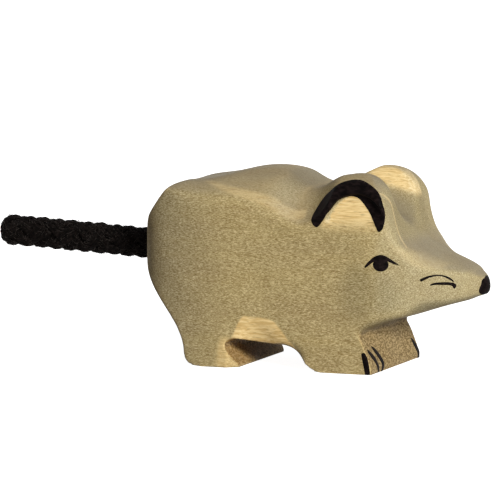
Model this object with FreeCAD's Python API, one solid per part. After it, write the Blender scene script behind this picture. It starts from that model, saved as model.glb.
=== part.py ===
import FreeCAD, Part
import math
import os

# A toy mouse sawn from one block of wood, with a braided cord for a tail.
# Millimetres. +X points to the nose, +Y to the mouse's left and +Z up.
# The origin is the middle of the wooden body's footprint, on the surface it stands on.

# The block of wood
body_length = 59.0
body_width = 24.0
body_height = 33.0
overrun = 40.0  # how far a cutting shape runs on past the wood

# Shares of the body's length are counted from the rump, shares of its height from the
# soles, and shares across it are of half its width.

# The outline seen from the side: length and height
rear_sole_shares = ((0.310, 0.000), (0.200, 0.000))
rump_shares = (
    (0.200, 0.000),
    (0.170, 0.006),
    (0.151, 0.025),
    (0.144, 0.055),
    (0.142, 0.091),
    (0.130, 0.164),
    (0.098, 0.255),
    (0.058, 0.345),
    (0.022, 0.440),
    (0.000, 0.575),
    (0.017, 0.715),
    (0.056, 0.815),
    (0.098, 0.896),
    (0.150, 0.931),
    (0.212, 0.946),
    (0.271, 0.973),
    (0.322, 0.992),
    (0.364, 0.997),
    (0.407, 0.990),
    (0.441, 0.965),
    (0.471, 0.935),
    (0.505, 0.906),
)
ear_shares = (
    (0.505, 0.906),
    (0.560, 0.941),
    (0.605, 0.983),
    (0.650, 0.999),
    (0.688, 0.987),
    (0.716, 0.953),
    (0.733, 0.909),
    (0.743, 0.857),
    (0.750, 0.806),
    (0.757, 0.758),
    (0.768, 0.706),
    (0.782, 0.664),
)
snout_shares = (
    (0.782, 0.664),
    (0.806, 0.631),
    (0.840, 0.606),
    (0.885, 0.580),
    (0.930, 0.546),
    (0.973, 0.502),
)
nose_shares = (
    (0.973, 0.502),
    (0.991, 0.470),
    (0.998, 0.428),
    (0.983, 0.378),
)
jaw_shares = (
    (0.983, 0.378),
    (0.915, 0.350),
    (0.820, 0.298),
    (0.748, 0.266),
    (0.682, 0.220),
)
shin_shares = (
    (0.674, 0.196),
    (0.694, 0.118),
    (0.712, 0.030),
)
front_sole_shares = ((0.712, 0.000), (0.555, 0.000))
arch_shares = (
    (0.555, 0.000),
    (0.532, 0.012),
    (0.513, 0.036),
    (0.500, 0.058),
    (0.487, 0.086),
    (0.473, 0.109),
    (0.450, 0.120),
    (0.420, 0.126),
    (0.385, 0.130),
    (0.350, 0.136),
    (0.313, 0.145),
    (0.285, 0.141),
    (0.274, 0.119),
    (0.284, 0.070),
    (0.310, 0.000),
)

# The outline seen from above, from the full width to the middle: length and across
plan_rear_shares = (
    (0.340, 1.000),
    (0.200, 0.985),
    (0.100, 0.930),
    (0.040, 0.830),
    (0.011, 0.660),
    (0.002, 0.400),
    (0.000, 0.000),
)
plan_snout_shares = (
    (0.690, 1.000),
    (0.730, 0.970),
    (0.765, 0.907),
    (0.795, 0.848),
    (0.830, 0.760),
    (0.870, 0.635),
    (0.910, 0.500),
    (0.945, 0.372),
    (0.970, 0.236),
    (0.986, 0.128),
    (0.996, 0.050),
    (1.000, 0.000),
)

# The rounded top seen from the front, behind the ears and across them: across and height
back_top_shares = (
    (1.060, 0.720),
    (1.000, 0.815),
    (0.930, 0.880),
    (0.830, 0.915),
    (0.600, 0.957),
    (0.300, 0.992),
    (0.000, 1.005),
)
head_top_shares = (
    (1.060, 0.660),
    (1.005, 0.790),
    (0.955, 0.870),
    (0.880, 0.918),
    (0.780, 0.966),
    (0.640, 0.996),
    (0.450, 1.015),
    (0.000, 1.060),
)
back_span_shares = (-0.100, 0.505)
head_span_shares = (0.505, 0.765)

# Rings that round the snout: length, height of the middle, half the height, half the width
ring_points = 24
ring_power_share = 0.8  # 1 makes the rings ellipses and less makes them squarer
snout_ring_shares = (
    (0.765, 0.450, 0.420, 1.300),
    (0.800, 0.450, 0.235, 1.000),
    (0.830, 0.447, 0.170, 0.880),
    (0.880, 0.440, 0.135, 0.690),
    (0.930, 0.434, 0.110, 0.520),
    (0.970, 0.430, 0.080, 0.320),
    (1.000, 0.424, 0.052, 0.130),
)

# The valley between the ears: length and height along its floor
valley_radius = 5.2
valley_shares = (
    (0.440, 1.010),
    (0.520, 0.920),
    (0.600, 0.868),
    (0.680, 0.820),
    (0.750, 0.745),
    (0.800, 0.700),
    (0.860, 0.660),
)

# The hollow in the outside of each ear, cut by a round tool held at a slant
ear_hollow_radius = 5.0
ear_hollow_depth = 2.2
ear_hollow_slant = 20.0  # degrees
ear_hollow_top_share = (0.660, 0.918)

# The scoop across the top edge behind each ear: length, and height along the slant
neck_slant = 45.0  # degrees
neck_scoop_shares = (
    (0.130, 0.890),
    (0.250, 0.868),
    (0.339, 0.852),
    (0.394, 0.838),
    (0.431, 0.812),
    (0.460, 0.788),
    (0.487, 0.774),
    (0.510, 0.774),
    (0.532, 0.790),
    (0.556, 0.818),
    (0.580, 0.856),
    (0.606, 0.904),
    (0.635, 0.975),
)

# The scoop in each side over the arch of the belly, cut by a slanted drum
belly_scoop_radius = 9.0
belly_scoop_slant = 15.0  # degrees
belly_scoop_top_share = (0.373, 0.260)

# The tail: a braided cord glued into a hole drilled in the rump
cord_diameter = 5.0
core_diameter = 3.2
hole_clearance = 0.1  # all round the cord
hole_diameter = cord_diameter + 2 * hole_clearance
drill_point_angle = 118.0  # degrees
cord_arc_share = 0.45
# The cord's route, from its seated end to its free end
cord_points = (
    (-19.5, 0.0, 18.7),
    (-31.0, 0.0, 18.7),
    (-44.5, 0.0, 19.45),
    (-58.0, 0.0, 20.0),
)


def place(share, across=0):
    """A point seen from the side."""
    along = (share[0] - 0.5) * body_length
    return FreeCAD.Vector(along, across, share[1] * body_height)


def straight(a, b):
    return Part.LineSegment(a, b).toShape()


def curve(points):
    """A smooth edge through the points."""
    line = Part.BSplineCurve()
    line.interpolate(points)
    return line.toShape()


def eased_curve(points, start, finish):
    """A smooth edge through the points that leaves and arrives in the given directions."""
    line = Part.BSplineCurve()
    line.interpolate(Points=points, InitialTangent=start, FinalTangent=finish)
    return line.toShape()


def side_curve(shares):
    return curve([place(share) for share in shares])


def side_line(shares):
    return straight(place(shares[0]), place(shares[1]))


def plan_place(share, side):
    """A point seen from above."""
    return place((share[0], 0), side * share[1] * body_width / 2)


def top_place(share, side):
    """A point seen from the front."""
    return FreeCAD.Vector(0, side * share[0] * body_width / 2, share[1] * body_height)


def side_outline():
    """The body's outline as it is sawn from the block."""
    return Part.Wire([
        side_line(rear_sole_shares),
        side_curve(rump_shares),
        side_curve(ear_shares),
        side_curve(snout_shares),
        side_curve(nose_shares),
        side_curve(jaw_shares),
        side_line((jaw_shares[-1], shin_shares[0])),
        side_curve(shin_shares),
        side_line((shin_shares[-1], front_sole_shares[0])),
        side_line(front_sole_shares),
        side_curve(arch_shares),
    ])


def plan_curve(shares, side, start):
    """One end of the outline from above, on one side, from the full width to the middle."""
    inward = FreeCAD.Vector(0, -side, 0)
    return eased_curve([plan_place(share, side) for share in shares], start, inward)


def plan_outline():
    """The body's outline from above, the same on both sides."""
    edges = []
    for side in (1, -1):
        edges.append(plan_curve(plan_rear_shares, side, FreeCAD.Vector(-1, 0, 0)))
        edges.append(plan_curve(plan_snout_shares, side, FreeCAD.Vector(1, 0, 0)))
        rear, snout = plan_rear_shares[0], plan_snout_shares[0]
        edges.append(straight(plan_place(rear, side), plan_place(snout, side)))
    return Part.Wire(Part.sortEdges(edges)[0])


def blank():
    """The block sawn to the side outline and narrowed to the outline from above."""
    side = Part.Face(side_outline())
    side.translate(FreeCAD.Vector(0, -body_width / 2, 0))
    sawn = side.extrude(FreeCAD.Vector(0, body_width, 0))
    plan = Part.Face(plan_outline()).extrude(FreeCAD.Vector(0, 0, body_height + overrun))
    return sawn.common(plan)


def rounded_top(shares, span):
    """A bar with a rounded top, between two shares of the body's length."""
    edges, feet = [], []
    for side in (1, -1):
        points = [top_place(share, side) for share in shares]
        feet.append(FreeCAD.Vector(0, points[0].y, -overrun))
        edges.append(eased_curve(points, FreeCAD.Vector(0, 0, 1), FreeCAD.Vector(0, -side, 0)))
        edges.append(straight(points[0], feet[-1]))
    edges.append(straight(feet[0], feet[1]))
    outline = Part.Wire(Part.sortEdges(edges)[0])
    bar = Part.Face(outline).extrude(FreeCAD.Vector((span[1] - span[0]) * body_length, 0, 0))
    bar.translate(place((span[0], 0)))
    return bar


def ring(share):
    """A closed squarish oval round the snout."""
    middle = place(share[:2])
    points = []
    for i in range(ring_points):
        turn = 2 * math.pi * i / ring_points
        across, up = [
            math.copysign(abs(v) ** ring_power_share, v) for v in (math.cos(turn), math.sin(turn))
        ]
        half_width, half_height = share[3] * body_width / 2, share[2] * body_height
        points.append(middle + FreeCAD.Vector(0, across * half_width, up * half_height))
    line = Part.BSplineCurve()
    line.interpolate(points, True)
    return Part.Wire(line.toShape())


def rounded_snout():
    return Part.makeLoft([ring(share) for share in snout_ring_shares], True)


def rounded_body():
    """The blank with its back, its head and its snout each rounded their own way."""
    whole = blank()
    back = whole.common(rounded_top(back_top_shares, back_span_shares))
    head = whole.common(rounded_top(head_top_shares, head_span_shares))
    return back.fuse([head, whole.common(rounded_snout())]).removeSplitter()


def valley_section(share):
    """A U across the head."""
    floor = place(share)
    out, up = FreeCAD.Vector(0, valley_radius, 0), FreeCAD.Vector(0, 0, valley_radius)
    left, right = floor + up + out, floor + up - out
    rise = FreeCAD.Vector(0, 0, overrun)
    return Part.Wire([
        Part.Arc(left, floor, right).toShape(),
        straight(right, right + rise),
        straight(right + rise, left + rise),
        straight(left + rise, left),
    ])


def valley():
    return Part.makeLoft([valley_section(share) for share in valley_shares], True)


def neck_scoop(side):
    """What the sander takes off the top edge behind one ear."""
    slant = math.radians(neck_slant)
    out = FreeCAD.Vector(0, side * math.sin(slant), math.cos(slant))
    over = FreeCAD.Vector(0, -side * math.cos(slant), math.sin(slant)) * overrun
    points = [place((share[0], 0)) + out * (share[1] * body_height) for share in neck_scoop_shares]
    tops = [point + out * overrun for point in (points[-1], points[0])]
    face = Part.Face(Part.Wire([
        curve(points),
        straight(points[-1], tops[0]),
        straight(tops[0], tops[1]),
        straight(tops[1], points[0]),
    ]))
    face.translate(-over)
    return face.extrude(over * 2)


def ear_hollow(side):
    """The slanted round cut in the outside of one ear, deepest at its top."""
    slant = math.radians(ear_hollow_slant)
    outward = FreeCAD.Vector(0, side * math.cos(slant), math.sin(slant))
    upward = FreeCAD.Vector(0, -side * math.sin(slant), math.cos(slant))
    rim = place(ear_hollow_top_share, side * body_width / 2)
    top = rim - outward * (ear_hollow_depth / math.cos(slant))
    return Part.makeCylinder(ear_hollow_radius, overrun, top - upward * ear_hollow_radius, outward)


def belly_scoop(side):
    """The shallow cut in one side over the arch, deeper towards the belly."""
    slant = math.radians(belly_scoop_slant)
    downward = FreeCAD.Vector(0, -side * math.sin(slant), -math.cos(slant))
    outward = FreeCAD.Vector(0, side * math.cos(slant), -math.sin(slant))
    top = place(belly_scoop_top_share, side * body_width / 2)
    start = top + outward * belly_scoop_radius - downward * overrun
    return Part.makeCylinder(belly_scoop_radius, 2 * overrun, start, downward)


def tail_glue():
    """Hardened glue that fills the drilled point of the hole, against the cord's end."""
    depth = hole_diameter / 2 / math.tan(math.radians(drill_point_angle / 2))
    seated, ahead = [FreeCAD.Vector(*point) for point in cord_points[:2]]
    return Part.makeCone(hole_diameter / 2, 0, depth, seated, seated - ahead)


def tail_hole():
    """The drilled hole with its pointed end."""
    seated, ahead = [FreeCAD.Vector(*point) for point in cord_points[:2]]
    bore = Part.makeCylinder(hole_diameter / 2, overrun, seated, ahead - seated)
    return bore.fuse(tail_glue())


def wooden_body():
    cuts = [valley(), tail_hole()]
    for side in (1, -1):
        cuts += [neck_scoop(side), ear_hollow(side), belly_scoop(side)]
    return rounded_body().cut(cuts)


def cord_route():
    """Straight runs joined by arcs that touch both of them, and the radii of the arcs."""
    points = [FreeCAD.Vector(*point) for point in cord_points]
    edges, radii, begin = [], [], points[0]
    for before, corner, after in zip(points, points[1:], points[2:]):
        back, on = before - corner, after - corner
        reach = cord_arc_share * min(back.Length, on.Length)
        half_turn = (math.pi - back.getAngle(on)) / 2
        radii.append(reach / math.tan(half_turn))
        back.normalize()
        on.normalize()
        enter, leave = corner + back * reach, corner + on * reach
        inward = back + on
        inward.normalize()
        middle = corner + inward * (radii[-1] / math.cos(half_turn) - radii[-1])
        edges += [straight(begin, enter), Part.Arc(enter, middle, leave).toShape()]
        begin = leave
    edges.append(straight(begin, points[-1]))
    return Part.Wire(edges), radii


def cord_tube(route, diameter):
    start = route.Edges[0]
    section = Part.Wire(Part.makeCircle(
        diameter / 2, start.valueAt(start.FirstParameter), start.tangentAt(start.FirstParameter)
    ))
    return route.makePipeShell([section], True, False)


def main():
    os.makedirs("parts", exist_ok=True)
    route, radii = cord_route()
    tube, core = cord_tube(route, cord_diameter), cord_tube(route, core_diameter)
    ratio = tube.Volume / (math.pi * cord_diameter**2 / 4 * route.Length)
    print("cord length", round(route.Length, 2), "radii", [round(radius) for radius in radii])
    print("cord volume over section times length", round(ratio, 5))
    solids = {
        "wooden_body": wooden_body(),
        "tail_sheath": tube.cut(core),
        "tail_core": core,
        "tail_glue": tail_glue(),
    }
    for name, shape in solids.items():
        box = shape.optimalBoundingBox(False, False)
        low = [round(v, 3) for v in (box.XMin, box.YMin, box.ZMin)]
        high = [round(v, 3) for v in (box.XMax, box.YMax, box.ZMax)]
        print(name, "valid", shape.isValid(), "solids", len(shape.Solids), low, high)
        shape.exportStep("parts/" + name + ".step")


if __name__ == "__main__":
    main()
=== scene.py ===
import math

import bmesh
import bpy
import numpy as np
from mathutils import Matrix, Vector


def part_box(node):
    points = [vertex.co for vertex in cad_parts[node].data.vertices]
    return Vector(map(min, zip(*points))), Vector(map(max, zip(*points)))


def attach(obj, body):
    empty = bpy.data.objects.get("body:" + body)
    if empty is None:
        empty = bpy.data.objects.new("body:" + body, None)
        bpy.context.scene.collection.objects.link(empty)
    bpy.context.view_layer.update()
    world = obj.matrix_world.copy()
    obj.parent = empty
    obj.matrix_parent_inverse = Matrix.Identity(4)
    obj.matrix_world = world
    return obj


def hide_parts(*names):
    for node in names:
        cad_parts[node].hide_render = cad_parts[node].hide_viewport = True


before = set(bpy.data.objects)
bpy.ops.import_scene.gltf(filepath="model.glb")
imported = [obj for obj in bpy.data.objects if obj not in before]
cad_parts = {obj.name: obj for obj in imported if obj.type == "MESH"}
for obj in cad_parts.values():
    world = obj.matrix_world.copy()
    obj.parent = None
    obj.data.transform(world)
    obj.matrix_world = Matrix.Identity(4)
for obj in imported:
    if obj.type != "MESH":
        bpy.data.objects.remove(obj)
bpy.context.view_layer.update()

# A wooden toy mouse: the carved block, its glaze and paint, and the braided cord of its tail.
# Metres. +X points to the nose, +Y to the mouse's left and +Z up.

# The camera, where the photograph was taken from
camera_azimuth = math.radians(20.9)
camera_elevation = math.radians(6.9)
picture_pixels = 500
focal_pixels = 7700
pixels_per_metre = 6000
sensor_width = 36.0  # millimetres, as the camera counts it
aim_across, aim_up = -0.01257, 0.01878  # the picture's middle, seen from the origin
clip_range = (0.01, 100.0)

# Lamps: azimuth and elevation in degrees, strength, softness in degrees, colour
lamps = {
    "key": (49.0, 20.0, 3.85, 14.0, (1.0, 0.98, 0.93)),
    "back": (200.0, 40.0, 0.20, 60.0, (0.97, 0.98, 1.0)),
}
sky_strength = 0.18
white = (1.0, 1.0, 1.0, 1.0)
floor_reach = 4.0
floor_roughness = 0.9
floor_glow = 0.96  # what the camera sees of the floor besides the light that falls on it
floor_bright, floor_dim = (0.8, 0.8, 0.8, 1), (0.25, 0.21, 0.15, 1)

# Colours of the wood and of its glaze
# bare wood, whose colours also paint the highlights on the brow, the ridge and the edges
bare_and_lit_colours = (0.91, 0.705, 0.365, 1), (0.66, 0.45, 0.180, 1)
glaze_colours = (0.400, 0.316, 0.148, 1), (0.365, 0.283, 0.135, 1)
# painted light and shade: the walls are darker where the light falls and the ceiling brighter in its
# shade
sawn_wall_and_lit_ceiling_colours = (0.47, 0.29, 0.085, 1), (0.86, 0.50, 0.115, 1)  # walls and ceiling of the arch
band_colour = (0.440, 0.325, 0.125, 1)
rubbed_colour = (0.80, 0.67, 0.40, 1)
grime_colour = (0.170, 0.110, 0.038, 1)
fleck_colour = (0.190, 0.115, 0.040, 1)
pore_colour = (0.120, 0.070, 0.024, 1)
end_fibre_colour = (0.50, 0.37, 0.19, 1)

# Tints over the wood's colour: over end grain, partly painted shade on the rump and the legs' fronts;
# painted shade on the faces turned up or down, between the ears and at the rear; a bluer painted
# sheen on the faces turned to the front; and a darker patch on the cheeks
# end grain, partly painted shade on the rump and the legs' fronts
end_grain_and_shade_tint = (0.66, 0.60, 0.54, 1)
# painted shade on the faces turned up
top_shade_tint = (0.80, 0.81, 0.95, 1)
# painted shade on the faces turned down
under_shade_tint = (0.74, 0.76, 0.80, 1)
# painted shade in the valley between the ears
valley_shade_tint = (0.79, 0.78, 0.75, 1)
# painted sheen: the faces turned to the front are bluer
face_sheen_tint = (0.93, 0.99, 1.14, 1)
# painted shade at the rear, which turns from the light
rear_shade_tint = (0.76, 0.80, 0.93, 1)
# a darker patch on the cheeks
cheek_dark_tint = (0.82, 0.84, 0.87, 1)

# Noise in the wood: stretch along the axes, scale, detail and roughness
wood_noises = {
    "cloud": ((0.35, 1.0, 1.0), 160.0, 2.0, 0.5),
    "band": ((0.06, 1.0, 1.0), 620.0, 2.0, 0.5),
    "streak": ((0.09, 1.0, 1.0), 3600.0, 2.0, 0.6),
    "mottle": ((0.28, 1.0, 1.0), 8000.0, 2.0, 0.8),
    "fleck": ((0.09, 1.0, 1.0), 4600.0, 2.0, 0.6),
    "pore": ((1.0, 0.45, 1.0), 3300.0, 2.0, 0.7),
}

# Where the noise sets in and is full, and the strengths it then has if not 0 and 1
streak_range = (0.35, 0.68)
cloud_range = (0.32, 0.68)
band_range = (0.40, 0.72, 0.0, 0.20)
# worn edges, which also paint the highlights along them
worn_and_lit_range = (0.25, 1.0, 0.0, 0.30)
grime_range = (0.50, 0.66, 0.0, 0.72)
rubbed_range = (0.50, 0.34, 0.0, 0.60)
fleck_range = (0.58, 0.72, 0.0, 0.55)
pore_range = (0.46, 0.60, 0.0, 1.0)
end_fibre_range = (0.50, 0.38, 0.0, 0.80)
calm_above = (0.0, 1.0, 1.0, 0.45)  # the grain shows less on the faces turned up

# Where tints set in and are full: parts of the normal, and places in metres
facing_up = (0.35, 0.85)
facing_down = (0.00, -0.45)
facing_front = (0.10, 0.50)
valley_facing = (0.15, 0.45)
ceiling_facing = (-0.30, -0.70)
leg_end_grain_and_shade = (0.45, 0.95, 0.0, 0.75)
rear_end_grain_and_shade = (-0.10, -0.70, 0.0, 0.45)
leg_heights = (0.012, 0.008)
rear_places = (-0.011, -0.027)
valley_half_widths = (0.0090, 0.0060)
valley_heights = (0.0205, 0.0240)

wood_roughness = (0.3, 0.7, 0.55, 0.68)  # range of the noise and of the roughness
wood_specular = 0.14
wood_bump = (0.30, 0.00005)  # strength and distance

# Paint, yarn, loose fibres and glue, in the same terms
brush_noise = ((0.5, 1.0, 1.0), 1500.0, 3.0, 0.6)
brush_range = (0.35, 0.75)
paint_colours = (0.0012, 0.0006, 0.0006, 1), (0.0150, 0.0095, 0.0095, 1)
paint_roughness = (0.3, 0.7, 0.45, 0.62)
paint_specular = 0.03
paint_bump = (0.4, 0.00008)
even = (1.0, 1.0, 1.0)  # not stretched
tuft_noise = (even, 1900.0, 3.0, 0.65)
tuft_range = (0.35, 0.72)
hair_noise = (even, 9000.0, 2.0, 0.7)
hair_range = (0.58, 0.72, 0.0, 0.5)
yarn_colours = (0.0010, 0.0007, 0.0006, 1), (0.0085, 0.0060, 0.0054, 1)
hair_colour = (0.038, 0.032, 0.029, 1)
yarn_roughness, yarn_specular = 0.85, 0.04
yarn_bump = (0.6, 0.00006)
fine_noise = (even, 2500.0, 2.0, 0.5)
shade_range = (0.35, 0.65)
fibre_colours = (0.016, 0.013, 0.012, 1), (0.085, 0.072, 0.065, 1)
fibre_roughness, fibre_specular = 0.7, 0.10
bubble_range = (0.4, 0.7)
glue_colours = (0.72, 0.62, 0.36, 1), (0.80, 0.72, 0.50, 1)
glue_roughness = 0.35

# The tail's route, the same points as in the construction
tail_route = (
    (-0.0195, 0.0, 0.0187),
    (-0.0310, 0.0, 0.0187),
    (-0.0445, 0.0, 0.01945),
    (-0.0580, 0.0, 0.0200),
)
route_order = 3
route_steps = 32
tail_diameter = 0.005
tail_exit = (-0.0295, 0.0, 0.0187)

# The braid: strands each way round, yarns in a strand and threads in a yarn
strands_each_way = 4
yarns_in_strand = 4
threads_in_yarn = 3
braid_radius = 0.00262  # out to the crests of the strands
braid_pitch = 0.0210  # one full turn of a strand
yarn_radius = 0.00034
yarn_spread = 0.00060  # from yarn to yarn in a strand
yarn_flatness = 0.85
thread_depth_share = 0.16
thread_pitch = 0.0013
strand_lift = 0.00030
yarn_wander = 0.00006
yarn_wander_length = 0.0031
yarn_wander_runs = (1.0, 0.43, 0.8, 0.31)  # how fast its four waves run
ring_step = 0.00016
yarn_sides = 10
braid_seed = 5
tip_length = 0.0015  # over which the tail narrows at its free end
tip_narrowing_share = 0.50

# The bundle of yarn inside the braid
core_radius = 0.00140
core_sides, core_rings, core_dome_rings = 48, 40, 10
core_dome_share, core_least_share = 0.85, 0.02  # of the square of its radius
core_ridges = 12
core_ridge_share = 0.05
core_twist = 900  # radians per metre

# The loose fibres
fibre_count = 1600
fibre_radius = 0.000026
fibre_length_range = (0.0005, 0.0016)
fibre_rise_range = (0.10, 0.55)
fibre_arch_share = 0.75  # of half a turn
fibre_taper_share = 0.6
fibre_margins = (0.0004, 0.0002)  # kept free at the exit and tip
fibre_steps, fibre_sides = 6, 3
fibre_seed = 11

# The wood's mesh
voxel = 0.00020
weld_distance = 0.000002
relax_rounds = 3
relax_pull = 0.5
sanding_rounds = 100
sole_guard = (voxel, 4 * voxel)  # heights above the sole over which the sanding sets in
edge_rounds, edge_pull = 2, 1.0
edge_rise = (0.000004, 0.00003)  # how far an edge stands out, unworn and worn
hand_wave_height = 0.00006
hand_wave_length = 0.009
# How fast each wave runs along X, Y and Z, and where it starts
hand_wave_runs = ((1.0, 0.0, 0.7, 0.0), (-0.8, 1.3, 0.0, 2.0), (0.4, 0.0, 0.9, 1.0))

# The wooden body's own box, from which the marks take their places
wood_low, wood_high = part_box("wooden_body")
wood_size = wood_high - wood_low

# Paint marks on each flank, as shares of the wood's length and height
ear_outer_edge_shares = (
    (0.529, 0.768), (0.537, 0.821), (0.556, 0.878), (0.579, 0.916), (0.600, 0.946),
    (0.622, 0.963), (0.648, 0.971), (0.672, 0.967), (0.697, 0.949), (0.718, 0.925),
    (0.731, 0.898), (0.739, 0.866), (0.745, 0.830), (0.747, 0.796), (0.745, 0.762),
    (0.741, 0.736), (0.731, 0.720),
)
ear_inner_edge_shares = (
    (0.723, 0.740), (0.713, 0.773), (0.701, 0.808), (0.681, 0.850), (0.661, 0.880),
    (0.641, 0.889), (0.619, 0.881), (0.600, 0.858), (0.582, 0.812), (0.566, 0.764),
    (0.548, 0.732),
)
ear_arc_shares = ear_outer_edge_shares + ear_inner_edge_shares
pupil_share = (0.737, 0.557)
pupil_radii = (0.00124, 0.00112)
# Strokes: length, height, and a share of the brush's half width
lid_brush = 0.00032
lid_shares = (
    (0.694, 0.544, 0.45), (0.702, 0.558, 0.75), (0.715, 0.579, 0.95), (0.726, 0.592, 1.00),
    (0.738, 0.597, 1.00), (0.749, 0.592, 0.90), (0.760, 0.579, 0.85), (0.771, 0.567, 0.65),
    (0.785, 0.555, 0.25),
)
whisker_brush = 0.00023
upper_whisker_shares = (
    (0.841, 0.478, 1.00), (0.851, 0.488, 0.90), (0.863, 0.496, 0.70), (0.879, 0.500, 0.55),
    (0.895, 0.495, 0.55), (0.908, 0.483, 0.70), (0.919, 0.466, 0.40),
)
lower_whisker_shares = (
    (0.863, 0.453, 0.50), (0.875, 0.458, 0.80), (0.893, 0.458, 1.00), (0.907, 0.457, 1.00),
    (0.916, 0.453, 1.20), (0.921, 0.446, 1.15), (0.920, 0.436, 0.70),
)
thick_claw_brush = 0.00046
thick_claw_shares = (
    (0.689, 0.101, 0.80), (0.693, 0.080, 1.00), (0.697, 0.050, 1.05), (0.700, 0.020, 1.00),
    (0.701, 0.000, 0.90),
)
# Strokes on the front of the feet: share of the half width, height, share of the brush
thin_claw_brush = 0.00058
inner_claw_shares = (
    (-0.885, 0.114, 0.60), (-0.815, 0.090, 0.95), (-0.750, 0.068, 1.00), (-0.715, 0.040, 0.95),
    (-0.700, 0.012, 0.80),
)
outer_claw_shares = (
    (-0.700, 0.127, 0.30), (-0.640, 0.110, 0.80), (-0.570, 0.084, 0.95), (-0.520, 0.060, 1.05),
    (-0.498, 0.040, 1.05), (-0.520, 0.018, 0.85), (-0.560, 0.002, 0.60),
)
# The left foot's claw sits on its corner: share of the half width and height as before
corner_claw_brush = 0.00066
corner_claw_shares = (
    (0.835, 0.100, 0.40), (0.870, 0.080, 0.85), (0.910, 0.055, 1.00), (0.940, 0.030, 1.00),
    (0.945, 0.000, 0.85),
)
nose_front_share = 0.9755
nose_middle_share = 0.425  # the height at which its paint reaches furthest back
nose_bow = 110.0  # per metre
nose_waves = ((0.00010, 3, 0.5), (0.00006, 7, 0.0))  # height, count and start
coat_height = 0.00004
coat_lift = 0.000010
coat_shoulder = 0.00022
# Where paint may lie: least distance from the middle, and least outward part of the normal
flank_start, flank_least_facing = 0.0015, 0.25
ear_start, ear_least_facing = 0.0070, -0.15
foot_least_facing = 0.3
foot_reach = 0.014  # the feet lie behind this X
off_surface = 1.0  # a distance that keeps a mark off the surface
line_steps = 6  # points to each span of a smooth line
least_square = 1e-18  # guards a span of no length

# Places whose edges are sanded most: how hard, how softly the place ends in metres, and
# shares of the wood's length and height
sanded_patches = (
    (0.60, 0.001, (0.77, 0.69), (0.83, 0.66), (0.93, 0.60), (1.02, 0.48), (1.00, 0.33),
     (0.86, 0.26), (0.74, 0.23), (0.69, 0.20), (0.65, 0.20), (0.64, 0.26), (0.70, 0.33),
     (0.77, 0.45)),
    (1.80, 0.004, (0.17, 0.86), (0.17, 0.98), (0.30, 1.05), (0.50, 1.03), (0.60, 0.98),
     (0.56, 0.87), (0.535, 0.77), (0.50, 0.74), (0.40, 0.78), (0.25, 0.84)),
    (1.80, 0.001, (0.38, 0.32), (0.46, 0.29), (0.52, 0.20), (0.53, 0.09), (0.48, 0.06),
     (0.44, 0.12), (0.39, 0.21)),
    (0.12, 0.002, (-0.02, 0.02), (-0.02, 0.98), (0.11, 0.98), (0.11, 0.80), (0.05, 0.60),
     (0.06, 0.40), (0.13, 0.23), (0.15, 0.02)),
    (1.20, 0.001, (0.515, 0.79), (0.60, 0.80), (0.66, 0.79), (0.73, 0.80), (0.76, 0.73),
     (0.70, 0.66), (0.60, 0.66), (0.53, 0.70)),
    (0.80, 0.001, (0.59, 0.82), (0.59, 1.04), (0.70, 1.03), (0.79, 0.90), (0.83, 0.66),
     (0.76, 0.64), (0.70, 0.76)),
)
# The outside of the ear keeps its sharp edges, from these distances and heights on
ear_outside_shares = ear_outer_edge_shares + ((0.640, 0.680),)
ear_outside_ends = (-0.0006, 0.0006)
ear_outside_start = (0.0070, 0.0085)
ear_foot_shares = (0.76, 0.79)

# Places that the sander left fuller or thinner than the cut shape: how far out in metres, how
# softly the place ends in metres, the side (-1 right, 1 left, 0 both) and shares as above
shaped_patches = (
    (0.00026, 0.0015, -1, (0.00, 0.74), (0.00, 0.90), (0.08, 1.00), (0.15, 1.00), (0.14, 0.86),
     (0.07, 0.72)),
    (-0.00022, 0.0015, 1, (0.07, 0.88), (0.08, 1.00), (0.15, 1.04), (0.22, 1.04), (0.23, 0.93),
     (0.16, 0.88)),
    (-0.00024, 0.0008, 0, (0.965, 0.30), (0.965, 0.58), (1.06, 0.58), (1.06, 0.30)),
    (-0.00040, 0.0012, 1, (0.51, 0.86), (0.52, 0.96), (0.56, 1.04), (0.62, 1.05), (0.61, 0.97),
     (0.57, 0.90)),
    (0.00038, 0.0012, -1, (0.50, 0.84), (0.51, 0.95), (0.55, 1.03), (0.60, 1.06), (0.605, 0.985),
     (0.575, 0.92), (0.54, 0.84)),
)
side_start = (0.004, 0.007)  # distances from the middle over which a one-sided place sets in

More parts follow.
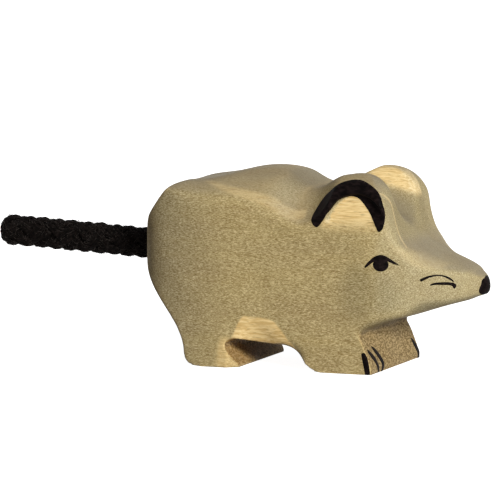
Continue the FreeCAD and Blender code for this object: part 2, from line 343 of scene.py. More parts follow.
# Places where the tools cut through the glaze, a paler strip along the neck, and a painted highlight
# on the brow: how they end in metres, how strongly they show, and shares of the wood's length and
# height
bare_and_lit_patches = {
    "hollow": ((-0.0005, 0.0003), 0.95, (
        (0.560, 0.730), (0.585, 0.800), (0.605, 0.858), (0.640, 0.893), (0.672, 0.876),
        (0.700, 0.820), (0.716, 0.760), (0.722, 0.715), (0.650, 0.690),
    )),
    "belly": ((-0.0003, 0.0001), 0.92, (
        (0.284, 0.100), (0.296, 0.170), (0.322, 0.262), (0.350, 0.268), (0.410, 0.258),
        (0.432, 0.232), (0.462, 0.165), (0.490, 0.090), (0.400, 0.060),
    )),
    "foot": ((-0.0006, 0.0006), 0.60, (
        (0.250, -0.020), (0.250, 0.060), (0.258, 0.135), (0.285, 0.150), (0.300, 0.060),
        (0.320, -0.020),
    )),
    # a paler strip along the top of the neck
    "neck": ((-0.0005, 0.0002), 0.34, (
        (0.180, 0.940), (0.225, 0.934), (0.277, 0.918), (0.329, 0.903), (0.375, 0.888),
        (0.415, 0.868), (0.443, 0.836), (0.476, 0.812), (0.505, 0.815), (0.507, 0.770),
        (0.471, 0.757), (0.437, 0.780), (0.395, 0.817), (0.348, 0.844), (0.300, 0.867),
        (0.250, 0.892),
    )),
    "valley": ((-0.0009, 0.0003), 0.88, (
        (0.585, 0.968), (0.600, 0.946), (0.637, 0.915), (0.664, 0.892), (0.700, 0.875),
        (0.733, 0.852), (0.754, 0.838), (0.756, 0.880), (0.745, 0.915), (0.725, 0.955),
        (0.700, 0.985), (0.650, 1.005), (0.600, 1.000),
    )),
    # painted highlight on the brow, where it turns to the light, with some worn glaze
    "brow": ((-0.0007, 0.0005), 0.28, (
        (0.744, 0.770), (0.759, 0.705), (0.775, 0.652), (0.790, 0.645), (0.814, 0.616),
        (0.844, 0.588), (0.873, 0.568), (0.900, 0.552), (0.882, 0.527), (0.838, 0.536),
        (0.798, 0.575), (0.775, 0.610), (0.757, 0.665), (0.744, 0.720),
    )),
}
# What limits the bare places and the painted highlight, from where it sets in to where it is full:
# a part of the normal, the distance from the middle or the share of the height
hollow_facing, hollow_out, hollow_height_shares = (0.75, 0.88), (0.008, 0.009), (0.69, 0.80)
flank_facing = (0.5, 0.8)
neck_facing = (0.2, 0.5)
inward_facing = (0.35, 0.75)
left_start, ear_inside = (0.0, 0.001), (0.0072, 0.0080)
brow_out = (0.0030, 0.0055)

# A darker patch on the cheeks, below the eye
cheek_dark_patch_shares = (
    (0.64, 0.30), (0.62, 0.43), (0.65, 0.54), (0.72, 0.53), (0.78, 0.44), (0.78, 0.33),
    (0.71, 0.27),
)
cheek_dark_ends, cheek_dark_facing = (-0.0020, 0.0020), (0.3, 0.6)

# The inside of the arch, which is sawn and not glazed
arch_patch_shares = (
    (0.255, -0.02), (0.255, 0.16), (0.35, 0.165), (0.45, 0.15), (0.50, 0.11), (0.54, 0.03),
    (0.57, -0.02),
)
arch_facing = (0.3, 0.6)
sawn_height = 2 * voxel  # the sawn wood starts this far above the sole

# The worn line down the front of the right ear, also a painted highlight along the crease there:
# share of the half width, height, share of the brush
ridge_brush = 0.00020
ridge_back = 0.0100  # it lies wholly in front of this X
ridge_ends, ridge_facing, ridge_strength = (-0.00010, 0.00015), (0.15, 0.40), 0.60
ridge_shares = (
    (-0.880, 0.912, 0.40), (-0.800, 0.898, 0.90), (-0.739, 0.884, 1.00), (-0.672, 0.866, 1.00),
    (-0.632, 0.840, 0.90), (-0.633, 0.794, 0.90), (-0.644, 0.745, 0.90), (-0.666, 0.702, 1.00),
    (-0.692, 0.667, 1.00), (-0.716, 0.639, 0.50),
)


def connect(tree, node, inputs):
    """Give a node's inputs their values, which may be other nodes' sockets."""
    for name, value in inputs.items():
        if isinstance(value, bpy.types.NodeSocket):
            tree.links.new(value, node.inputs[name])
        else:
            node.inputs[name].default_value = value


def add_node(tree, kind, inputs=None, **settings):
    """A shader node with its settings and its inputs."""
    node = tree.nodes.new("ShaderNode" + kind)
    for name, value in settings.items():
        setattr(node, name, value)
    connect(tree, node, inputs or {})
    return node


def add_object(name, data):
    thing = bpy.data.objects.new(name, data)
    bpy.context.scene.collection.objects.link(thing)
    return thing


def direction(azimuth, elevation):
    """The way from the origin to a camera or a lamp at these angles."""
    return Vector((
        math.sin(azimuth) * math.cos(elevation),
        -math.cos(azimuth) * math.cos(elevation),
        math.sin(elevation),
    ))


def look_against(thing, back):
    thing.rotation_mode = "QUATERNION"
    thing.rotation_quaternion = (-back).to_track_quat("-Z", "Y")


def make_camera():
    right = Vector((math.cos(camera_azimuth), math.sin(camera_azimuth), 0))
    back = direction(camera_azimuth, camera_elevation)
    up = back.cross(right)
    data = bpy.data.cameras.new("camera")
    data.sensor_width = sensor_width
    data.lens = sensor_width * focal_pixels / picture_pixels
    data.clip_start, data.clip_end = clip_range
    camera = add_object("camera", data)
    camera.location = right * aim_across + up * aim_up + back * (focal_pixels / pixels_per_metre)
    look_against(camera, back)
    bpy.context.scene.camera = camera


def new_material(name):
    """A material with its tree and its shader."""
    material = bpy.data.materials.new(name)
    material.use_nodes = True
    tree = material.node_tree
    tree.nodes.clear()
    shader = add_node(tree, "BsdfPrincipled")
    add_node(tree, "OutputMaterial", {"Surface": shader.outputs["BSDF"]})
    return material, tree, shader


def coordinates(tree, kind):
    return add_node(tree, "TexCoord").outputs[kind]


def parts_of(tree, vector):
    return add_node(tree, "SeparateXYZ", {"Vector": vector}).outputs


def noise(tree, place, stretch, scale, detail, roughness):
    """Noise in the object's own space, stretched along its axes."""
    mapping = add_node(tree, "Mapping", {"Vector": place, "Scale": stretch})
    return add_node(tree, "TexNoise", {
        "Vector": mapping.outputs["Vector"],
        "Scale": scale,
        "Detail": detail,
        "Roughness": roughness,
    }).outputs["Fac"]


def ramp(tree, value, low, high, to_low=0.0, to_high=1.0):
    """A smooth change from one strength at the low value to another at the high one."""
    return add_node(tree, "MapRange", {
        "Value": value,
        "From Min": low,
        "From Max": high,
        "To Min": to_low,
        "To Max": to_high,
    }, interpolation_type="SMOOTHSTEP").outputs["Result"]


def mix(tree, share, first, second, blend="MIX"):
    node = add_node(tree, "Mix", data_type="RGBA", blend_type=blend)
    for name, value in (("Factor_Float", share), ("A_Color", first), ("B_Color", second)):
        target = next(item for item in node.inputs if item.identifier == name)
        if isinstance(value, bpy.types.NodeSocket):
            tree.links.new(value, target)
        else:
            target.default_value = value
    return next(item for item in node.outputs if item.identifier == "Result_Color")


def math_node(tree, operation, first, second):
    return add_node(tree, "Math", {0: first, 1: second}, operation=operation).outputs[0]


def times(tree, first, second):
    return math_node(tree, "MULTIPLY", first, second)


def bump(tree, height, strength, distance):
    return add_node(tree, "Bump", {
        "Height": height, "Strength": strength, "Distance": distance,
    }).outputs["Normal"]


def attribute(tree, name):
    return add_node(tree, "Attribute", attribute_name=name).outputs["Fac"]


def worn_and_lit_glaze(tree, noises, facing):
    """The glaze with the bare and the sawn wood in it, and the share of it that is left; the worn
    edges also serve as painted highlights, and the sawn wood carries painted light and shade.
    """
    bare_and_lit_wood = mix(tree, ramp(tree, noises["streak"], *streak_range), *bare_and_lit_colours)
    glaze = mix(tree, ramp(tree, noises["cloud"], *cloud_range), *glaze_colours)
    glaze = mix(tree, ramp(tree, noises["band"], *band_range), glaze, band_colour)
    # worn glaze on the sharp edges, which also paints their highlights
    worn_and_lit = ramp(tree, attribute(tree, "edge"), *worn_and_lit_range)
    showing = math_node(tree, "MAXIMUM", attribute(tree, "bare_and_lit"), worn_and_lit)
    colour = mix(tree, showing, glaze, bare_and_lit_wood)
    # painted light and shade on the sawn wood: walls darker, the ceiling facing down brighter
    sawn = mix(tree, ramp(tree, facing["Z"], *ceiling_facing), *sawn_wall_and_lit_ceiling_colours)
    colour = mix(tree, attribute(tree, "sawn"), colour, sawn)
    return colour, math_node(tree, "SUBTRACT", 1.0, showing)


def grained(tree, colour, noises, strength):
    """Fine dark and pale marks in the glaze, and dark flecks all over."""
    grime = times(tree, strength, ramp(tree, noises["mottle"], *grime_range))
    colour = mix(tree, grime, colour, grime_colour)
    rubbed = times(tree, strength, ramp(tree, noises["mottle"], *rubbed_range))
    colour = mix(tree, rubbed, colour, rubbed_colour)
    return mix(tree, ramp(tree, noises["fleck"], *fleck_range), colour, fleck_colour)


def end_grained(tree, colour, pore, facing, leg, rear):
    """Darker wood with pores and pale fibres where the faces lie across the grain; the darkening also
    paints shade on the rump, which turns from the light, and on the fronts of the legs under the
    snout.
    """
    ahead = times(tree, leg, ramp(tree, facing["X"], *leg_end_grain_and_shade))
    astern = times(tree, rear, ramp(tree, facing["X"], *rear_end_grain_and_shade))
    across = math_node(tree, "MAXIMUM", ahead, astern)
    # the darkening is partly end grain and partly painted shade
    colour = mix(tree, across, colour, end_grain_and_shade_tint, "MULTIPLY")
    pores = times(tree, across, ramp(tree, pore, *pore_range))
    colour = mix(tree, pores, colour, pore_colour)
    fibres = times(tree, across, ramp(tree, pore, *end_fibre_range))
    return mix(tree, fibres, colour, end_fibre_colour)


def valley_front(tree, spot, facing):
    """The front of the valley between the ears, where painted shade darkens the glaze."""
    out = math_node(tree, "ABSOLUTE", spot["Y"], 0.0)
    valley = times(tree, ramp(tree, out, *valley_half_widths), ramp(tree, spot["Z"], *valley_heights))
    return times(tree, valley, ramp(tree, facing["X"], *valley_facing))


def glazed_wood():
    """Pale close-grained wood under a thin grey-brown glaze, bare where a tool cut it again, with
    painted shade where the faces turn from the light and painted highlights where they turn to it.
    """
    material, tree, shader = new_material("glazed_wood")
    place = coordinates(tree, "Object")
    spot = parts_of(tree, place)
    facing = parts_of(tree, coordinates(tree, "Normal"))
    noises = {name: noise(tree, place, *settings) for name, settings in wood_noises.items()}
    up = ramp(tree, facing["Z"], *facing_up)
    down = ramp(tree, facing["Z"], *facing_down)
    leg = ramp(tree, spot["Z"], *leg_heights)
    rear = ramp(tree, spot["X"], *rear_places)
    colour, glazed = worn_and_lit_glaze(tree, noises, facing)
    colour = grained(tree, colour, noises, times(tree, glazed, ramp(tree, up, *calm_above)))
    colour = end_grained(tree, colour, noises["pore"], facing, leg, rear)
    tints = (
        # painted sheen: the faces turned to the front, above the legs, are bluer
        (times(tree, ramp(tree, facing["X"], *facing_front), ramp(tree, leg, 1.0, 0.0)), face_sheen_tint),
        # painted shade in the valley between the ears
        (times(tree, valley_front(tree, spot, facing), glazed), valley_shade_tint),
        # painted shade at the rear, which turns from the light
        (times(tree, rear, glazed), rear_shade_tint),
        # painted shade on the faces turned down
        (times(tree, down, glazed), under_shade_tint),
        # the darker patch on the cheeks
        (attribute(tree, "thick"), cheek_dark_tint),
        # painted shade: the faces turned up are darker and bluer
        (times(tree, up, glazed), top_shade_tint),
    )
    for share, tint in tints:
        colour = mix(tree, share, colour, tint, "MULTIPLY")
    connect(tree, shader, {
        "Base Color": colour,
        "Roughness": ramp(tree, noises["cloud"], *wood_roughness),
        "Specular IOR Level": wood_specular,
        "Normal": bump(tree, noises["mottle"], *wood_bump),
    })
    return material


def black_paint():
    """Thin black paint with the streaks of the brush and of the grain below."""
    material, tree, shader = new_material("black_paint")
    streak = noise(tree, coordinates(tree, "Object"), *brush_noise)
    connect(tree, shader, {
        "Base Color": mix(tree, ramp(tree, streak, *brush_range), *paint_colours),
        "Roughness": ramp(tree, streak, *paint_roughness),
        "Specular IOR Level": paint_specular,
        "Normal": bump(tree, streak, *paint_bump),
    })
    return material


def black_yarn():
    """Dull black yarn whose threads catch a little light."""
    material, tree, shader = new_material("black_yarn")
    place = coordinates(tree, "Object")
    tuft = noise(tree, place, *tuft_noise)
    hair = noise(tree, place, *hair_noise)
    colour = mix(tree, ramp(tree, tuft, *tuft_range), *yarn_colours)
    connect(tree, shader, {
        "Base Color": mix(tree, ramp(tree, hair, *hair_range), colour, hair_colour),
        "Roughness": yarn_roughness,
        "Specular IOR Level": yarn_specular,
        "Normal": bump(tree, hair, *yarn_bump),
    })
    return material


def yarn_hair():
    """Single fibres, greyer than the yarn where light passes through them."""
    material, tree, shader = new_material("yarn_hair")
    shade = noise(tree, coordinates(tree, "Object"), *fine_noise)
    connect(tree, shader, {
        "Base Color": mix(tree, ramp(tree, shade, *shade_range), *fibre_colours),
        "Roughness": fibre_roughness,
        "Specular IOR Level": fibre_specular,
    })
    return material


def wood_glue():
    """Hardened glue, cream coloured with small bubbles."""
    material, tree, shader = new_material("wood_glue")
    bubble = noise(tree, coordinates(tree, "Object"), *fine_noise)
    connect(tree, shader, {
        "Base Color": mix(tree, ramp(tree, bubble, *bubble_range), *glue_colours),
        "Roughness": glue_roughness,
    })
    return material


def new_piece(name, points, faces, material, slot):
    """A smooth shaded mesh that belongs to the object."""
    mesh = bpy.data.meshes.new(name)
    mesh.from_pydata(points.tolist(), [], faces)
    mesh.update()
    mesh.materials.append(material)
    mesh.shade_smooth()
    piece = add_object(name, mesh)
    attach(piece, "root")
    return piece


# The tail


def tail_line():
    """Points along the smooth line of the tail's route."""
    curve = bpy.data.curves.new("tail_line", "CURVE")
    curve.dimensions = "3D"
    spline = curve.splines.new("NURBS")
    spline.points.add(len(tail_route) - 1)
    for point, place in zip(spline.points, tail_route):
        point.co = (*place, 1)
    spline.order_u = route_order
    spline.use_endpoint_u = True
    spline.resolution_u = route_steps
    carrier = add_object("tail_line", curve)
    line = np.array([vertex.co for vertex in bpy.data.meshes.new_from_object(carrier).vertices])
    bpy.data.objects.remove(carrier)
    return line


def line_places(line, spots):
    """The places at these distances along the line."""
    run = np.concatenate(([0], np.cumsum(np.linalg.norm(np.diff(line, axis=0), axis=1))))
    return np.stack([np.interp(spots, run, line[:, i]) for i in range(3)], axis=-1)


def unit(vectors):
    return vectors / np.linalg.norm(vectors, axis=-1, keepdims=True)


def line_frames(line, spots):
    """The place, the way along and the two ways across the line at each distance along it."""
    tangent = unit(line_places(line, spots + ring_step) - line_places(line, spots - ring_step))
    side = unit(np.cross(tangent, (0.0, 0.0, 1.0)))
    return line_places(line, spots), tangent, side, np.cross(side, tangent)


def round_corners(sides):
    return 2 * math.pi * np.arange(sides) / sides


def ring_points(middle, sizes, first, second, flatness=1.0):
    """Rings of points round a line, with a size for each point."""
    corners = round_corners(sizes.shape[1])
    return (
        middle[:, None]
        + (sizes * np.cos(corners))[..., None] * first[:, None]
        + (sizes * np.sin(corners) * flatness)[..., None] * second[:, None]
    ).reshape(-1, 3)


def tube_faces(rings, sides, start):
    faces = []
    for i in range(rings - 1):
        for j in range(sides):
            a, b = start + i * sides + j, start + i * sides + (j + 1) % sides
            faces.append((a, b, b + sides, a + sides))
    faces.append(tuple(range(start + sides - 1, start - 1, -1)))
    faces.append(tuple(range(start + (rings - 1) * sides, start + rings * sides)))
    return faces


def tip_reach(spots, total):
    """How far into the tail's tip each distance lies, from 0 to 1."""
    return np.clip((spots - (total - tip_length)) / tip_length, 0, 1)


def tip_share(spots, total):
    """How much of the full radius is left near the tail's tip."""
    return 1 - tip_narrowing_share * (1 - np.sqrt(1 - tip_reach(spots, total)**2))


def yarn_line(line, total, way, strand, yarn, draw):
    """The middle line of one yarn as it goes over and under the yarns of the other way."""
    spots = np.linspace(0, total, int(total / ring_step))
    crossing = math.pi * 2 * strands_each_way * spots / braid_pitch
    phases = draw.uniform(0, 2 * math.pi, len(yarn_wander_runs))
    run = 2 * math.pi * spots / yarn_wander_length
    waves = [np.sin(rate * run + phase) for rate, phase in zip(yarn_wander_runs, phases)]
    unrest = yarn_wander * (waves[0] + waves[1]) / 2
    sway = yarn_wander * (waves[2] + waves[3])
    lift = way * strand_lift * np.cos(crossing) + unrest
    radius = braid_radius - yarn_radius * yarn_flatness - strand_lift + lift
    aside = (yarn - (yarns_in_strand - 1) / 2) * yarn_spread + sway
    turn = 2 * math.pi * (way * spots / braid_pitch + strand / strands_each_way)
    turn = turn + aside / (radius * math.cos(math.atan2(2 * math.pi * core_radius, braid_pitch)))
    radius = radius * tip_share(spots, total)
    centre, _, side, up = line_frames(line, spots)
    outward = np.cos(turn)[:, None] * side + np.sin(turn)[:, None] * up
    return centre + radius[:, None] * outward, outward


def twisted_yarn(middle, outward):
    """One yarn as a tube whose threads wind round each other."""
    across = unit(np.cross(unit(np.gradient(middle, axis=0)), outward))
    twist = 2 * math.pi * (np.arange(len(middle)) * ring_step) / thread_pitch
    corners = round_corners(yarn_sides)
    lobes = np.cos(threads_in_yarn * (corners[None] - twist[:, None] / threads_in_yarn))
    sizes = yarn_radius * (1 + thread_depth_share * lobes)
    return ring_points(middle, sizes, across, outward, yarn_flatness)


def braid(line, total):
    """Every yarn of the braid as a twisted tube."""
    draw = np.random.default_rng(braid_seed)
    points, faces = [], []
    for way in (1, -1):
        for strand in range(strands_each_way):
            for yarn in range(yarns_in_strand):
                middle, outward = yarn_line(line, total, way, strand, yarn, draw)
                start = sum(len(part) for part in points)
                points.append(twisted_yarn(middle, outward))
                faces += tube_faces(len(middle), yarn_sides, start)
    return np.concatenate(points), faces


def core_yarns(line, total):
    """The bundle inside the braid, with a soft domed end."""
    dome_turns = np.linspace(0, math.pi / 2, core_dome_rings + 1)
    spots = np.concatenate((
        np.linspace(0, total - tip_length, core_rings),
        total - tip_length * np.cos(dome_turns)[1:],
    ))
    dome = 1 - core_dome_share * tip_reach(spots, total)**2
    radius = core_radius * np.sqrt(np.clip(dome, core_least_share, 1))
    turns = core_ridges * round_corners(core_sides)[None] + core_twist * spots[:, None]
    sizes = radius[:, None] * (1 + core_ridge_share * np.cos(turns))
    centre, _, side, up = line_frames(line, spots)
    return ring_points(centre, sizes, side, up), tube_faces(len(spots), core_sides, 0)


def loose_fibres(line, total):
    """Short hairs that stand off the braid."""
    draw = np.random.default_rng(fibre_seed)
    points, faces = [], []
    hidden = tail_route[0][0] - tail_exit[0]
    along = np.linspace(0, 1, fibre_steps)
    thick = fibre_radius * (1 - fibre_taper_share * along)
    sizes = thick[:, None] * np.ones(fibre_sides)
    for _ in range(fibre_count):
        spot = draw.uniform(hidden + fibre_margins[0], total - fibre_margins[1])
        turn = draw.uniform(0, 2 * math.pi)
        length = draw.uniform(*fibre_length_range)
        lean, curl = draw.uniform(-1, 1, 2)
        rise = draw.uniform(*fibre_rise_range)
        spots = np.clip(spot + length * lean * along, 0, total - ring_step)
        centre, tangent, side, up = line_frames(line, spots)
        around = turn + curl * length / tail_diameter * 2 * along
        arch = np.sin(along * math.pi * fibre_arch_share)
        radius = (braid_radius - yarn_radius + length * rise * arch) * tip_share(spots, total)
        outward = np.cos(around)[:, None] * side + np.sin(around)[:, None] * up
        middle = centre + radius[:, None] * outward
        points.append(ring_points(middle, sizes, np.cross(outward, tangent), tangent))
        faces += tube_faces(fibre_steps, fibre_sides, (len(points) - 1) * fibre_steps * fibre_sides)
    return np.concatenate(points), faces


def make_tail():
    line = tail_line()
    total = float(np.linalg.norm(np.diff(line, axis=0), axis=1).sum())
    yarn = black_yarn()
    sheath = new_piece("tail_braid", *braid(line, total), yarn, "black_cord")
    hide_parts("tail_sheath")
    core = new_piece("tail_core_yarns", *core_yarns(line, total), yarn, "black_cord")
    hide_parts("tail_core")
    fuzz = new_piece("tail_fibres", *loose_fibres(line, total), yarn_hair(), "black_cord")


# The wood


def relaxed(points, edges, rounds, pull):
    """Each point drawn towards the middle of its neighbours, which softens the edges."""
    count = np.bincount(edges.ravel(), minlength=len(points))[:, None]
    for _ in range(rounds):
        total = np.zeros_like(points)
        for i in range(3):
            total[:, i] += np.bincount(edges[:, 0], points[edges[:, 1], i], len(points))
            total[:, i] += np.bincount(edges[:, 1], points[edges[:, 0], i], len(points))
        points = points + pull * (total / count - points)
    return points


def even_mesh():
    """The carved block's surface as an even net of small squares."""
    work = bmesh.new()
    work.from_mesh(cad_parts["wooden_body"].data)
    bmesh.ops.remove_doubles(work, verts=work.verts, dist=weld_distance)
    mesh = bpy.data.meshes.new("wood_source")
    work.to_mesh(mesh)
    work.free()
    carrier = add_object("wood_source", mesh)
    remesh = carrier.modifiers.new("even", "REMESH")
    remesh.mode = "VOXEL"
    remesh.voxel_size = voxel
    graph = bpy.context.evaluated_depsgraph_get()
    result = bpy.data.meshes.new_from_object(carrier.evaluated_get(graph))
    bpy.data.objects.remove(carrier)
    return result


def mesh_values(items, name, width, kind=np.float32):
    """One row of values for each item of a mesh."""
    flat = np.empty(len(items) * width, kind)
    items.foreach_get(name, flat)
    return flat.reshape(-1, width)


def mesh_points(mesh):
    return mesh_values(mesh.vertices, "co", 3).astype(float)


def mesh_normals(mesh):
    return mesh_values(mesh.vertex_normals, "vector", 3).astype(float)


def move_points(mesh, points):
    mesh.vertices.foreach_set("co", points.astype(np.float32).ravel())
    mesh.update()


def hand_waves(points):
    """The slight unevenness that hand sanding leaves."""
    places = points / hand_wave_length * 2 * math.pi
    waves = sum(np.sin(places @ run[:3] + run[3]) for run in hand_wave_runs)
    return hand_wave_height * waves / len(hand_wave_runs)


def side_places(shares):
    """Shares of the wood's length and height as places in metres."""
    shares = np.asarray(shares, float)
    return np.stack((
        wood_low.x + shares[:, 0] * wood_size.x,
        wood_low.z + shares[:, 1] * wood_size.z,
    ), axis=-1)


def front_places(shares):
    """Shares of the wood's half width and of its height as places in metres."""
    shares = np.asarray(shares, float)
    return np.stack((
        shares[:, 0] * wood_size.y / 2,
        wood_low.z + shares[:, 1] * wood_size.z,
    ), axis=-1)


def smooth_line(points, closed):
    """A smooth line through the points, with more points between them."""
    count = len(points)
    if closed:
        around = [points[(i - 1) % count] for i in range(count + 3)]
    else:
        around = [2 * points[0] - points[1], *points, 2 * points[-1] - points[-2]]
    share = np.arange(line_steps)[:, None] / line_steps
    spans = []
    for a, b, c, d in zip(around, around[1:], around[2:], around[3:]):
        spans.append(0.5 * (
            2 * b + (c - a) * share
            + (2 * a - 5 * b + 4 * c - d) * share**2
            + (3 * b - a - 3 * c + d) * share**3
        ))
    if not closed:
        spans.append(points[-1:])
    return np.concatenate(spans)


def outline_field(flat, outline):
    """Distance of flat places from a closed smooth outline, negative inside it."""
    line = smooth_line(outline, True)
    best = np.full(len(flat), np.inf)
    inside = np.zeros(len(flat), bool)
    for a, b in zip(line, np.roll(line, -1, axis=0)):
        best = np.minimum(best, segment_distance(flat, a, b)[0])
        crosses = (a[1] > flat[:, 1]) != (b[1] > flat[:, 1])
        rise = b[1] - a[1] if b[1] != a[1] else 1.0
        inside ^= crosses & (flat[:, 0] < a[0] + (flat[:, 1] - a[1]) / rise * (b[0] - a[0]))
    return np.where(inside, -best, best)


def segment_distance(flat, a, b):
    """Distance of flat places from a segment, and where on it the nearest point lies."""
    span = b - a
    share = np.clip(((flat - a) @ span) / max(span @ span, least_square), 0, 1)
    return np.linalg.norm(flat - a - share[:, None] * span, axis=-1), share


def stroke_field(flat, strokes, brush, to_places):
    """Distance of flat places from the edge of a brush stroke, negative inside it."""
    strokes = np.asarray(strokes)
    line = smooth_line(np.column_stack((to_places(strokes[:, :2]), strokes[:, 2])), False)
    best = np.full(len(flat), np.inf)
    for a, b in zip(line, line[1:]):
        away, share = segment_distance(flat, a[:2], b[:2])
        best = np.minimum(best, away - brush * (a[2] + share * (b[2] - a[2])))
    return best


def soft_step(value, low, high):
    """0 up to the low value and 1 from the high one on."""
    share = np.clip((value - low) / (high - low), 0, 1)
    return share * share * (3 - 2 * share)


def soft_fall(value, low, high):
    """1 up to the low value and 0 from the high one on."""
    return soft_step(-value, -high, -low)


def patch_share(points, shares, ends):
    """1 inside an outline on the flank and 0 outside it, with a soft end between."""
    return soft_fall(outline_field(points[:, [0, 2]], side_places(shares)), *ends)


def height_share(points):
    return (points[:, 2] - wood_low.z) / wood_size.z


def sanded_share(points):
    """Where the sander softened the edges most: the face, the neck, the breast and the rump."""
    soft = np.zeros(len(points))
    for strength, softness, *shares in sanded_patches:
        soft = np.maximum(soft, strength * patch_share(points, shares, (-softness, softness)))
    ear = outline_field(points[:, [0, 2]], side_places(ear_outside_shares))
    off_ear = np.maximum.reduce((
        soft_step(ear, *ear_outside_ends),
        soft_fall(np.abs(points[:, 1]), *ear_outside_start),
        soft_fall(height_share(points), *ear_foot_shares),
    ))
    return soft * off_ear * soft_step(points[:, 2] - wood_low.z, *sole_guard)


def shaped(points, normals):
    """The points moved outwards or inwards where the sanding differs from the cut shape."""
    outward = normals * (1.0, 0.0, 1.0)
    moved = points.copy()
    for amount, softness, side, *shares in shaped_patches:
        patch = patch_share(points, shares, (-softness, softness))
        if side:
            patch *= soft_step(side * points[:, 1], *side_start)
        moved += outward * (amount * patch)[:, None]
    return np.clip(moved, wood_low, wood_high)


def ridge_line(points, normals):
    """The worn line down the front of the right ear, also a painted highlight along its crease."""
    field = stroke_field(points[:, [1, 2]], ridge_shares, ridge_brush, front_places)
    line = soft_fall(field, *ridge_ends) * soft_step(normals[:, 0], *ridge_facing)
    return line * (points[:, 0] > ridge_back)


def bare_and_lit_share(points, normals):
    """How far a tool cut through the glaze at each point, with the paler strip along the neck and
    painted highlights on the brow and down the right ear's ridge.
    """
    out = np.abs(points[:, 1])
    facing = normals[:, 1] * np.sign(points[:, 1])
    in_hollow = soft_step(facing, *hollow_facing) * soft_step(out, *hollow_out)
    left_inside = soft_step(points[:, 1], *left_start) * soft_fall(out, *ear_inside)
    limits = {
        "hollow": in_hollow * soft_step(height_share(points), *hollow_height_shares),
        "belly": soft_step(facing, *flank_facing),
        "foot": soft_step(facing, *flank_facing),
        "neck": soft_step(facing, *neck_facing),
        "valley": np.maximum(soft_step(-facing, *inward_facing), left_inside),
        "brow": soft_step(out, *brow_out),
    }
    bare_and_lit = np.zeros(len(points))
    for name, (ends, strength, shares) in bare_and_lit_patches.items():
        bare_and_lit += strength * (patch_share(points, shares, ends) * limits[name])
    # the ridge's worn line, which also paints a highlight along the crease
    bare_and_lit += ridge_strength * ridge_line(points, normals)
    return np.clip(bare_and_lit, 0, 1)


def cheek_dark_share(points, normals):
    """The darker patch on the cheeks, on both flanks."""
    on_flank = soft_step(np.abs(normals[:, 1]), *cheek_dark_facing)
    return patch_share(points, cheek_dark_patch_shares, cheek_dark_ends) * on_flank


def sawn_share(points, normals):
    """The inside of the arch, which is sawn and not glazed."""
    inside = outline_field(points[:, [0, 2]], side_places(arch_patch_shares)) < 0
    above_sole = points[:, 2] - wood_low.z > sawn_height
    return inside * above_sole * soft_fall(np.abs(normals[:, 1]), *arch_facing)


def edge_share(points, normals, edges):
    """How sharp the wood's outward edges are at each point, from 0 to 1."""
    around = relaxed(points, edges, edge_rounds, edge_pull)
    return soft_step(((points - around) * normals).sum(axis=1), *edge_rise)


def store(mesh, name, values):
    layer = mesh.attributes.new(name, "FLOAT", "POINT")
    layer.data.foreach_set("value", values.astype(np.float32))


def make_wood():
    """The sanded block, softer at its edges than the cut shape."""
    mesh = even_mesh()
    edges = mesh_values(mesh.edges, "vertices", 2, np.int32)
    points = relaxed(mesh_points(mesh), edges, relax_rounds, relax_pull)
    points = relaxed(points, edges, sanding_rounds, relax_pull * sanded_share(points)[:, None])
    move_points(mesh, points)
    normals = mesh_normals(mesh)
    points = shaped(points, normals)
    off_sole = np.abs(points[:, 2] - wood_low.z) > voxel
    points = points - normals * (hand_wave_height + hand_waves(points))[:, None] * off_sole[:, None]
    mesh.name = "carved_body"
    move_points(mesh, points)
    mesh.shade_smooth()
    mesh.materials.clear()
    mesh.materials.append(glazed_wood())
    normals = mesh_normals(mesh)
    # bare wood, the paler neck strip and painted highlights
    store(mesh, "bare_and_lit", bare_and_lit_share(points, normals))
    # the darker patch on the cheeks
    store(mesh, "thick", cheek_dark_share(points, normals))
    store(mesh, "sawn", sawn_share(points, normals))
    store(mesh, "edge", edge_share(points, normals, edges))
    piece = add_object("carved_body", mesh)
    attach(piece, "root")
    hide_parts("wooden_body")
    return piece


# The paint


class Surface:
    """The wood's points, normals and triangles, for laying paint on them."""

    def __init__(self, mesh):
        self.points = mesh_points(mesh)
        self.normals = mesh_normals(mesh)
        mesh.calc_loop_triangles()
        self.triangles = mesh_values(mesh.loop_triangles, "vertices", 3, np.int32)
        self.side = self.points[:, [0, 2]]
        self.front = self.points[:, [1, 2]]

    def coat(self, field):
        """The surface inside the field's zero line, lifted like a coat of paint."""
        inside = field < 0
        count = inside[self.triangles].sum(axis=1)
        corners, places, faces = {}, [], []

        def corner(a, b):
            key = (a, b) if a < b else (b, a)
            if key not in corners:
                share = field[a] / (field[a] - field[b]) if a != b else 0.0
                place = self.points[a] * (1 - share) + self.points[b] * share
                normal = self.normals[a] * (1 - share) + self.normals[b] * share
                depth = -field[a] if a == b else 0.0
                height = coat_lift + coat_height * soft_step(depth, 0, coat_shoulder)
                corners[key] = len(places)
                places.append(place + normal * height)
            return corners[key]

        for triangle in self.triangles[count > 0].tolist():
            face = []
            for a, b in zip(triangle, triangle[1:] + triangle[:1]):
                if inside[a]:
                    face.append(corner(a, a))
                if inside[a] != inside[b]:
                    face.append(corner(a, b))
            faces.append(face)
        return np.clip(places, wood_low, wood_high), faces


def paint(surface, name, field, where, material):
    field = np.where(where, field, off_surface)
    new_piece(name, *surface.coat(field), material, "black_paint")


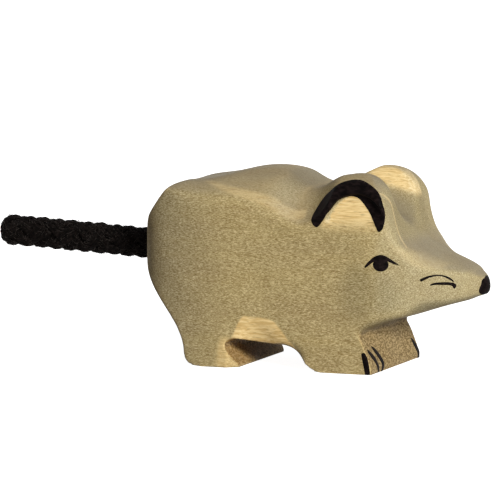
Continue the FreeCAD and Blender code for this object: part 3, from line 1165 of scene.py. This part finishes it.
def flank_marks(surface, side):
    """Each mark of one flank with where its paint may lie and the distance from its edge."""
    out, facing = surface.points[:, 1] * side, surface.normals[:, 1] * side
    on_flank = (out > flank_start) & (facing > flank_least_facing)
    on_ear = (out > ear_start) & (facing > ear_least_facing)
    return {
        "ear_arc": (on_ear, outline_field(surface.side, side_places(ear_arc_shares))),
        "eyelid": (on_flank, side_stroke(surface, lid_shares, lid_brush)),
        "upper_whisker": (on_flank, side_stroke(surface, upper_whisker_shares, whisker_brush)),
        "lower_whisker": (on_flank, side_stroke(surface, lower_whisker_shares, whisker_brush)),
        "pupil": (on_flank, pupil_field(surface.side)),
        "side_claw": (on_flank, side_stroke(surface, thick_claw_shares, thick_claw_brush)),
    }


def make_paint(wood):
    surface = Surface(wood.data)
    material = black_paint()
    for word, side in (("right", -1), ("left", 1)):
        for mark, (where, field) in flank_marks(surface, side).items():
            paint(surface, f"{mark}_{word}", field, where, material)
    ahead = surface.points[:, 0]
    on_front = (surface.normals[:, 0] > foot_least_facing) & (ahead > 0) & (ahead < foot_reach)
    claws = {
        "inner_claw_right": (inner_claw_shares, thin_claw_brush),
        "outer_claw_right": (outer_claw_shares, thin_claw_brush),
        "corner_claw_left": (corner_claw_shares, corner_claw_brush),
    }
    for name, (shares, brush) in claws.items():
        field = stroke_field(surface.front, shares, brush, front_places)
        paint(surface, name, field, on_front, material)
    paint(surface, "nose_tip", nose_field(surface.points), True, material)


def side_stroke(surface, shares, brush):
    return stroke_field(surface.side, shares, brush, side_places)


def pupil_field(flat):
    away = (flat - side_places([pupil_share])) / pupil_radii
    return (np.linalg.norm(away, axis=-1) - 1) * min(pupil_radii)


def nose_field(points):
    """Everything in front of a slightly wavy line round the tip of the snout."""
    above = points[:, 2] - wood_low.z - nose_middle_share * wood_size.z
    turn = np.arctan2(above, points[:, 1])
    wave = sum(height * np.sin(count * turn + start) for height, count, start in nose_waves)
    bow = nose_bow * above**2
    return wood_low.x + nose_front_share * wood_size.x + wave + bow - points[:, 0]


# The surroundings


def seen_light(tree):
    """1 for what the camera sees, itself or by way of a shiny or clear surface, else 0."""
    path = add_node(tree, "LightPath")
    seen = math_node(tree, "MAXIMUM", path.outputs["Is Camera Ray"], path.outputs["Is Glossy Ray"])
    return math_node(tree, "MAXIMUM", seen, path.outputs["Is Transmission Ray"])


def floor_material():
    """A matt white that the camera sees brighter than it lights the object, clear from below."""
    material, tree, shader = new_material("floor")
    seen = seen_light(tree)
    connect(tree, shader, {
        "Base Color": mix(tree, seen, floor_dim, floor_bright),
        "Roughness": floor_roughness,
        "Specular IOR Level": 0.0,
        "Emission Color": white,
        "Emission Strength": times(tree, seen, floor_glow),
    })
    below = add_node(tree, "NewGeometry").outputs["Backfacing"]
    clear = add_node(tree, "BsdfTransparent")
    both = add_node(tree, "MixShader", {
        0: below, 1: shader.outputs["BSDF"], 2: clear.outputs[0],
    })
    connect(tree, tree.get_output_node("ALL"), {"Surface": both.outputs[0]})
    return material


def make_floor():
    """A pale floor that the camera sees almost white, with the object's soft shadow on it."""
    mesh = bpy.data.meshes.new("floor")
    r = floor_reach / 2
    mesh.from_pydata([(-r, -r, 0), (r, -r, 0), (r, r, 0), (-r, r, 0)], [], [(0, 1, 2, 3)])
    mesh.materials.append(floor_material())
    floor = add_object("floor", mesh)


def make_sky():
    """A dim even light from all round that the camera sees as white."""
    world = bpy.data.worlds.new("sky")
    world.use_nodes = True
    tree = world.node_tree
    tree.nodes.clear()
    strength = add_node(tree, "MapRange", {
        "Value": seen_light(tree), "To Min": sky_strength, "To Max": 1.0,
    }).outputs["Result"]
    sky = add_node(tree, "Background", {"Color": white, "Strength": strength})
    add_node(tree, "OutputWorld", {"Surface": sky.outputs[0]})
    bpy.context.scene.world = world


def make_lamps():
    for name, (azimuth, elevation, strength, softness, colour) in lamps.items():
        data = bpy.data.lights.new(name, "SUN")
        data.energy = strength
        data.angle = math.radians(softness)
        data.color = colour
        lamp = add_object(name, data)
        look_against(lamp, direction(math.radians(azimuth), math.radians(elevation)))


def finish_glue():
    """The hidden glue keeps its shape and gets its own surface."""
    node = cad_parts["tail_glue"]
    node.data.materials.clear()
    node.data.materials.append(wood_glue())


make_camera()
make_tail()
make_paint(make_wood())
finish_glue()
make_floor()
make_sky()
make_lamps()
bpy.context.scene.view_settings.view_transform = "Standard"
